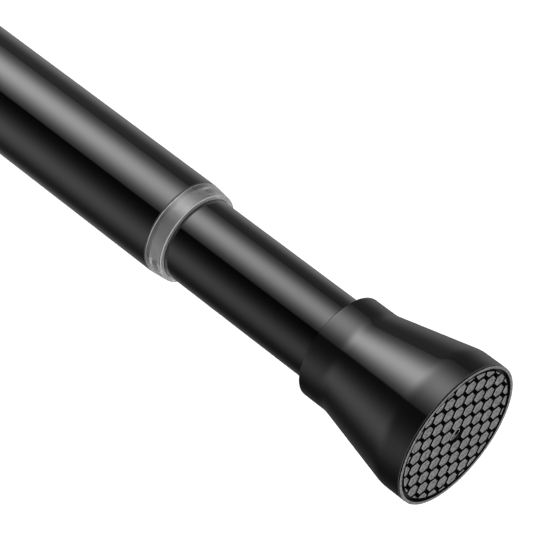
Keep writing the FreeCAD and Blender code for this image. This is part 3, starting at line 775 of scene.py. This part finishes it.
def merged(polygon, shortest):
    """A polygon without the corners that lie closer together than shortest."""
    kept = [polygon[0]]
    for corner in polygon[1:]:
        if (corner - kept[-1]).length > shortest:
            kept.append(corner)
    if (kept[-1] - kept[0]).length <= shortest:
        kept.pop()
    return kept


def tread_cells(reach):
    """Outlines of the studs, as seen from the front of the pad: whole ones, and trimmed ones at the edge."""
    across_flats = CELL_PITCH - CELL_GROOVE
    corner_reach = across_flats / math.sqrt(3)
    column_step = CELL_PITCH * math.cos(math.radians(30))
    count = math.ceil(reach / CELL_PITCH) + 2
    smallest = SMALLEST_CELL_SHARE * math.sqrt(3) / 2 * across_flats**2
    cells = []
    for column in range(-count, count + 1):
        for row in range(-count, count + 1):
            middle = Vector((column * column_step, (row + (column % 2) / 2) * CELL_PITCH))
            if (column, row) == (0, 0) or middle.length > reach + across_flats:
                continue
            turned = Matrix.Rotation(-CELL_TURN, 2)
            corners = []
            for corner in range(6):
                angle = math.radians(60 * corner)
                corners.append(turned @ (middle + corner_reach * Vector((math.cos(angle), math.sin(angle)))))
            cell = trimmed(corners, reach)
            if cell and area_of(cell) > smallest:
                cells.append(merged(cell, SHORTEST_SIDE))
    return cells


near_start, near_end, _, pad_radius = turned_sizes("near_pad")
rim_inside = pad_radius - RIM_WIDTH
cells = tread_cells(rim_inside - TREAD_MARGIN)
print("studs on a pad:", len(cells))

# %% Building a pad
STEM_RADIUS = 2.0 * MM
BARB_RADIUS = 2.6 * MM
BARB_LENGTH = 1.8 * MM
DISC_THICKNESS = 0.80 * MM
INSIDE_ONLY = 1
SAME_PLACE = 1e-9


def ring_of(radius, steps, middle=Vector((0, 0))):
    """Points of a circle, anticlockwise."""
    angles = [2 * math.pi * step / steps for step in range(steps)]
    return [middle + Vector((radius * math.cos(a), radius * math.sin(a))) for a in angles]


def add_loop(mesh, height, polygon):
    """Vertices of a flat loop at a height above the groove floor, measured along X."""
    return [mesh.verts.new((height, point.x, point.y)) for point in polygon]


def groove_floor(mesh, loops, outlines):
    """The flat sheet at height 0 between the first loop, its rim, and all the others."""
    points = [point for outline in outlines for point in outline]
    vertices = [vertex for loop in loops for vertex in loop]
    edges = []
    first = 0
    for outline in outlines:
        count = len(outline)
        edges += [(first + index, first + (index + 1) % count) for index in range(count)]
        first += count
    rim = list(range(len(outlines[0])))
    points_out, _, triangles, sources, _, _ = delaunay_2d_cdt(
        points, edges, [rim], INSIDE_ONLY, SAME_PLACE)
    assert len(points_out) == len(points), "the tread's outlines cross"
    holes = {}
    first = len(outlines[0])
    for number, outline in enumerate(outlines[1:]):
        for index in range(first, first + len(outline)):
            holes[sources[index][0] if sources[index] else index] = number
        first += len(outline)
    for triangle in triangles:
        owners = {holes.get(corner) for corner in triangle}
        if len(owners) == 1 and None not in owners:
            continue
        mesh.faces.new([vertices[corner] for corner in triangle])


def add_walls(mesh, below, levels, steps):
    """Carries a loop through (height, radius) rings about the middle, and gives the last loop."""
    for height, radius in levels:
        above = add_loop(mesh, height, ring_of(radius, steps))
        join_loops(mesh, below, above)
        below = above
    return below


def add_stud(mesh, base, cell):
    """A stud on its outline: walls, a bevel and a flat top."""
    shoulder = add_loop(mesh, TREAD_DEPTH - CELL_BEVEL, cell)
    top = add_loop(mesh, TREAD_DEPTH, shrunk(cell, CELL_BEVEL))
    join_loops(mesh, base, shoulder)
    join_loops(mesh, shoulder, top)
    mesh.faces.new(top)


def boss_outline():
    """A drop, round about the pinhole and narrow about its tail's end."""
    outline = []
    for outward in ring_of(1, BOSS_STEPS):
        ends = [HOLE_PLACE + BOSS_RADIUS * outward, TAIL_PLACE + TAIL_RADIUS * outward]
        outline.append(max(ends, key=outward.dot))
    return outline


def add_boss(mesh, base):
    """The boss in the middle, with its pinhole a little off centre."""
    height = TREAD_DEPTH - BOSS_DROP
    shoulder = add_loop(mesh, height - BOSS_EDGE, boss_outline())
    edge = add_loop(mesh, height, shrunk(boss_outline(), BOSS_EDGE))
    join_loops(mesh, base, shoulder)
    join_loops(mesh, shoulder, edge)
    mouth = add_loop(mesh, height, ring_of(HOLE_RADIUS, BOSS_STEPS, HOLE_PLACE))
    bottom = add_loop(mesh, height - HOLE_DEPTH, ring_of(HOLE_RADIUS, BOSS_STEPS, HOLE_PLACE))
    join_loops(mesh, edge, mouth)
    join_loops(mesh, mouth, bottom)
    mesh.faces.new(bottom)


def pad_mesh():
    """One pad facing +X, with its groove floor at height 0 and the rod's axis through its middle."""
    mesh = bmesh.new()
    outlines = [ring_of(rim_inside, EDGE_STEPS), boss_outline()] + cells
    loops = [add_loop(mesh, 0, outline) for outline in outlines]
    groove_floor(mesh, loops, outlines)
    for cell, base in zip(cells, loops[2:]):
        add_stud(mesh, base, cell)
    add_boss(mesh, loops[1])
    front = TREAD_DEPTH + TREAD_RECESS
    disc_radius = pad_radius - RIM_OVERHANG
    stem = -stem_reach
    skin = [
        (front - RIM_EDGE, rim_inside),
        (front, rim_inside + RIM_EDGE),
        (front, pad_radius - RIM_EDGE),
        (front - RIM_EDGE, pad_radius),
        (front - RIM_THICKNESS, pad_radius),
        (front - RIM_THICKNESS, disc_radius),
        (-DISC_THICKNESS, disc_radius),
        (-DISC_THICKNESS, STEM_RADIUS),
        (stem, STEM_RADIUS),
        (stem, BARB_RADIUS),
        (stem - BARB_LENGTH, STEM_RADIUS / 2),
    ]
    last = add_walls(mesh, loops[0], skin, EDGE_STEPS)
    mesh.faces.new(last)
    return mesh


def slot_mesh():
    """The block that cuts the short slot in the boss."""
    mesh = bmesh.new()
    bmesh.ops.create_cube(mesh, size=1)
    top = TREAD_DEPTH - BOSS_DROP
    size = SLOT_HIGH - SLOT_LOW
    middle = (SLOT_HIGH + SLOT_LOW) / 2
    bmesh.ops.scale(mesh, verts=mesh.verts, vec=(2 * SLOT_DEPTH, size.x, size.y))
    bmesh.ops.translate(mesh, verts=mesh.verts, vec=(top, middle.x, middle.y))
    return mesh


floor_place = near_end - TREAD_RECESS - TREAD_DEPTH
stem_reach = floor_place - near_start - BARB_LENGTH
for name, node, body, floor_at, way in (
    ("near_pad_tread", "near_pad", "inner", floor_place, 1),
    ("far_pad_tread", "far_pad", "outer", near_end - floor_place, -1),
):
    pad = finish_mesh(name, pad_mesh(), rubber)
    carve(pad, slot_mesh())
    facing = Matrix.Rotation(0 if way > 0 else math.pi, 4, "Z")
    pad.data.transform(Matrix.Translation((floor_at, 0, 0)) @ facing)
    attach(pad, body)
    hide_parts(node)

# %% [markdown]
# ## The spring
# The spring is round wire wound on a helix. A curve with a round bevel would do for one place, but this
# spring is squeezed when the rod gives, so it is made as a mesh that can flatten along X. Its wire is swept
# by hand: at each step along the helix, a ring of points is set square to the wire.

# %% The spring
SPRING_TURNS = 10
WIRE_RADIUS = 0.7 * MM
STEPS_PER_TURN = 48
WIRE_STEPS = 14


def spring_mesh(start, end, coil_radius):
    """A closed tube along a helix about X."""
    mesh = bmesh.new()
    rise = (end - start - 2 * WIRE_RADIUS) / SPRING_TURNS
    steps = SPRING_TURNS * STEPS_PER_TURN
    rings = []
    for step in range(steps + 1):
        turn = 2 * math.pi * step / STEPS_PER_TURN
        outward = Vector((0, math.sin(turn), -math.cos(turn)))
        middle = coil_radius * outward
        middle.x = start + WIRE_RADIUS + rise * step / STEPS_PER_TURN
        ahead = Vector((rise / (2 * math.pi), coil_radius * math.cos(turn), coil_radius * math.sin(turn)))
        across = ahead.normalized().cross(outward)
        ring = []
        for side in range(WIRE_STEPS):
            angle = 2 * math.pi * side / WIRE_STEPS
            offset = WIRE_RADIUS * (math.cos(angle) * outward + math.sin(angle) * across)
            ring.append(mesh.verts.new(middle + offset))
        rings.append(ring)
    for here, there in zip(rings, rings[1:]):
        join_loops(mesh, here, there)
    for ring in (rings[0], rings[-1]):
        mesh.faces.new(ring)
    return mesh


spring_start, spring_end, _, spring_radius = turned_sizes("spring")
helix_radius = spring_radius - WIRE_RADIUS
spring = finish_mesh("spring_coils", spring_mesh(spring_start, spring_end, helix_radius), wire)
squeeze = next(joint for joint in frame["joints"] if joint["name"] == "spring_slide")["range_m"][1]
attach(spring, "lock_spindle")
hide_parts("spring")
kept_share = 1 - squeeze / (spring_end - spring_start)
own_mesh(spring)
print("the spring keeps", round(100 * kept_share), "% of its length when it is squeezed")

# %% [markdown]
# ## Floor and background
# The rod hangs between walls, so the floor is well below it and its shadow falls away from the picture. The
# floor is plain and pale. It takes light and shadow as a matt surface does, and a share of plain white is
# added for what the camera sees, straight or in a mirror or through clear plastic, so that it reads as
# white paper. Further out the white takes over, so that no horizon shows. Seen from below it is clear.

# %% The floor
FLOOR_DROP = 0.55
FLOOR_REACH = 9.0
FLOOR_WHITE = 0.80
FLOOR_LIFT = 0.60
FADE_FROM = 0.9
FADE_TO = 3.0
CLOUD_SIZE = 0.02
CLOUD_SHADE = 0.01
STAGE_STEPS = 96


def seen(graph):
    """1 for rays from the camera, from gloss and through clear pieces, and 0 for rays that carry light."""
    path = [graph.node("ShaderNodeLightPath", output=name)
            for name in ("Is Camera Ray", "Is Glossy Ray", "Is Transmission Ray")]
    return path[0].larger(path[1]).larger(path[2])


def floor_paper(middle):
    finish = new_finish("floor_paper")
    distance = finish.node("ShaderNodeVectorMath", {"operation": "DISTANCE"},
                           {0: finish.place(), 1: middle}, output=1)
    far = finish.spread(distance, FADE_FROM, FADE_TO)
    cloud = finish.speckle(CLOUD_SIZE)
    matt = finish.node("ShaderNodeBsdfDiffuse", inputs={
        "Color": finish.mix(cloud, grey(FLOOR_WHITE - CLOUD_SHADE), grey(FLOOR_WHITE + CLOUD_SHADE))})
    lift = finish.node("ShaderNodeEmission", inputs={"Strength": seen(finish) * FLOOR_LIFT})
    near_look = finish.node("ShaderNodeAddShader", inputs={0: matt, 1: lift})
    white = finish.node("ShaderNodeEmission", inputs={"Strength": 1.0})
    clear_below = finish.node("ShaderNodeBsdfTransparent")
    look = finish.node("ShaderNodeMixShader", inputs={0: far, 1: near_look, 2: white})
    behind = finish.node("ShaderNodeNewGeometry", output=6)
    shown = finish.node("ShaderNodeMixShader", inputs={0: behind, 1: look, 2: clear_below})
    finish.node("ShaderNodeOutputMaterial", inputs={"Surface": shown})
    return finish.owner


rod_middle = (cad_box[0] + cad_box[1]) / 2
floor_middle = Vector((rod_middle.x, rod_middle.y, rod_middle.z - FLOOR_DROP))
sheet = bmesh.new()
bmesh.ops.create_circle(sheet, cap_ends=True, segments=STAGE_STEPS, radius=FLOOR_REACH)
bmesh.ops.translate(sheet, verts=sheet.verts, vec=floor_middle)
floor = finish_mesh("floor", sheet, floor_paper(floor_middle))
if floor.data.polygons[0].normal.z < 0:
    floor.data.flip_normals()

# %% The world
WORLD_FILL = 0.35


def white_world():
    graph = Graph(bpy.data.worlds.new("studio"))
    shown = seen(graph)
    strength = shown + (1 - shown) * WORLD_FILL
    background = graph.node("ShaderNodeBackground", inputs={"Color": (1, 1, 1, 1), "Strength": strength})
    graph.node("ShaderNodeOutputWorld", inputs={"Surface": background})
    return graph.owner


bpy.context.scene.world = white_world()
print("world fill light:", WORLD_FILL)

# %% [markdown]
# ## Two plain lamps
# A soft lamp stands on the camera's side, further out and higher up, and gives the pad's face most of its
# light. A weaker one above evens that out. Gloss doesn't see them, because the next step gives it something
# better.

# %% The lamps
def soft_lamp(name, offset, width, energy):
    """A square soft lamp at an offset from the middle of the rod, and aimed at it."""
    light = bpy.data.lights.new(name, "AREA")
    light.shape = "SQUARE"
    light.size = width
    light.energy = energy
    lamp = bpy.data.objects.new(name, light)
    lamp.location = rod_middle + Vector(offset)
    lamp.rotation_euler = (-Vector(offset)).to_track_quat("-Z", "Y").to_euler()
    lamp.visible_camera = False
    lamp.visible_glossy = False
    bpy.context.scene.collection.objects.link(lamp)
    print(name, "stands", round(Vector(offset).length, 2), "m away, with", energy, "W")


soft_lamp("lamp_front", (1.1, -0.9, 0.8), width=0.9, energy=19.0)
soft_lamp("lamp_top", (-0.3, 0.2, 1.3), width=1.2, energy=5.0)

# %% [markdown]
# ## A tent for the gloss
# A shiny black rod has no colour of its own to show: what it shows is the studio. Photographers therefore
# wrap such a thing in a tent of paper and light the paper, bright above and dim below. Here the tent is a
# wide cylinder about the rod that only reflections can see, closed behind the far end and open before the
# near one. Its brightness depends on two things: the angle about the rod, where 0 is straight up and positive
# angles lean to +Y, and the place along the rod.
#
# Five soft patches of light make up the tent: a strong one above with crisp borders, which gives the broad
# streak on the rod's upper side, a faint one beside it, a weaker one low in front, one low at the back, which
# draws the far edge, and a faint one below. The rest is nearly black, as the rod is. A patch fades as a bell
# curve: where `dot` is the cosine of the angle from its middle, `e ** ((dot - 1) / spread ** 2)` is one at
# the middle and falls off alike on both sides.
#
# Along the rod, all but the back patch dim from just behind the far end towards the near end. Further behind
# the far end every patch is out. Towards the near end and past it the paper turns white, for the pad's face.

# %% The tent
TENT_RADIUS = 0.5
TENT_REACH = 1.6
TENT_BASE = 0.008
TOP_PATCH = {"middle": 9.0, "spread": 18.0, "brightness": 4.0}
SIDE_PATCH = {"middle": 58.0, "spread": 12.0, "brightness": 0.13}
FRONT_PATCH = {"middle": -97.5, "spread": 19.5, "brightness": 0.61}
BACK_PATCH = {"middle": 108.0, "spread": 21.0, "brightness": 0.30}
LOW_PATCH = {"middle": 172.0, "spread": 20.0, "brightness": 0.19}
TOP_FRAME_MIDDLE = 10.5
TOP_FRAME_HALF = 44.5
FRAME_BLUR = 1.0
DARK_UNTIL_X = -0.26
LIT_FROM_X = -0.15
FULL_AT_X = -0.10
DIM_AT_X = 0.45
DIM_SHARE = 0.30
PAPER_FROM_X = 0.30
PAPER_FULL_X = 0.70
PAPER_WHITE = 1.0


def towards(finish, place, angle):
    """Cosine of the angle about the rod between a place on the tent and a given angle."""
    turn = math.radians(angle)
    side = finish.part(place, 1) - rod_middle.y
    height = finish.part(place, 2) - rod_middle.z
    return (side * math.sin(turn) + height * math.cos(turn)) * (1 / TENT_RADIUS)


def patch_light(finish, place, middle, spread, brightness):
    """A patch whose light fades as a bell curve about its middle angle."""
    off = towards(finish, place, middle) - 1
    return brightness * math.e ** (off * (1 / math.radians(spread) ** 2))


def tent_paper():
    finish = new_finish("tent_paper")
    place = finish.place()
    x = finish.part(place, 0)
    outer_border = math.cos(math.radians(TOP_FRAME_HALF + FRAME_BLUR))
    inner_border = math.cos(math.radians(TOP_FRAME_HALF - FRAME_BLUR))
    framed = finish.spread(towards(finish, place, TOP_FRAME_MIDDLE), outer_border, inner_border)
    along = DIM_SHARE + (1 - DIM_SHARE) * finish.spread(x, DIM_AT_X, FULL_AT_X)
    top = patch_light(finish, place, **TOP_PATCH) * framed
    side = patch_light(finish, place, **SIDE_PATCH)
    front = patch_light(finish, place, **FRONT_PATCH)
    low = patch_light(finish, place, **LOW_PATCH)
    back = patch_light(finish, place, **BACK_PATCH)
    lit = finish.spread(x, DARK_UNTIL_X, LIT_FROM_X)
    light = lit * ((top + side + front) * along + low * along ** 2 + back) + TENT_BASE
    paper = finish.spread(x, PAPER_FROM_X, PAPER_FULL_X)
    glow = finish.node("ShaderNodeEmission", inputs={"Color": light + paper * PAPER_WHITE, "Strength": 1.0})
    finish.node("ShaderNodeOutputMaterial", inputs={"Surface": glow})
    return finish.owner


def tent_mesh():
    """A cylinder about the rod, closed at its -X end alone."""
    mesh = bmesh.new()
    bmesh.ops.create_cone(mesh, cap_ends=True, segments=STAGE_STEPS, radius1=TENT_RADIUS,
                          radius2=TENT_RADIUS, depth=2 * TENT_REACH)
    bmesh.ops.rotate(mesh, verts=mesh.verts, matrix=Matrix.Rotation(math.pi / 2, 3, "Y"))
    bmesh.ops.translate(mesh, verts=mesh.verts, vec=rod_middle)
    opened = max(mesh.faces, key=lambda face: face.calc_center_median().x)
    bmesh.ops.delete(mesh, geom=[opened], context="FACES_ONLY")
    return mesh


tent = finish_mesh("tent", tent_mesh(), tent_paper())
for kind in ("camera", "diffuse", "transmission", "volume_scatter", "shadow"):
    setattr(tent, "visible_" + kind, False)

# %% [markdown]
# ## The camera
# The photo was taken with a long lens from above the rod's sliding end, so the tubes hardly narrow with
# distance. The camera's place and lens come from fitting the tubes' outlines, the cap's circles and the cells
# of the pad to the photo. It stands upright, with no roll.

# %% The camera
CAMERA_PLACE = Vector((0.657803, -0.253828, 0.419724))
CAMERA_AHEAD = Vector((-0.463451, 0.464782, -0.754447))
LENS = 183.476
SENSOR = 36.0

camera_data = bpy.data.cameras.new("camera")
camera_data.lens = LENS
camera_data.sensor_width = SENSOR
camera_data.clip_start = 0.01
camera_data.clip_end = 100.0
camera = bpy.data.objects.new("camera", camera_data)
camera.location = CAMERA_PLACE
camera.rotation_euler = CAMERA_AHEAD.to_track_quat("-Z", "Y").to_euler()
bpy.context.scene.collection.objects.link(camera)
bpy.context.scene.camera = camera
bpy.context.scene.view_settings.view_transform = "Standard"
print("camera looks down by", round(math.degrees(math.asin(-CAMERA_AHEAD.z)), 1), "degrees")
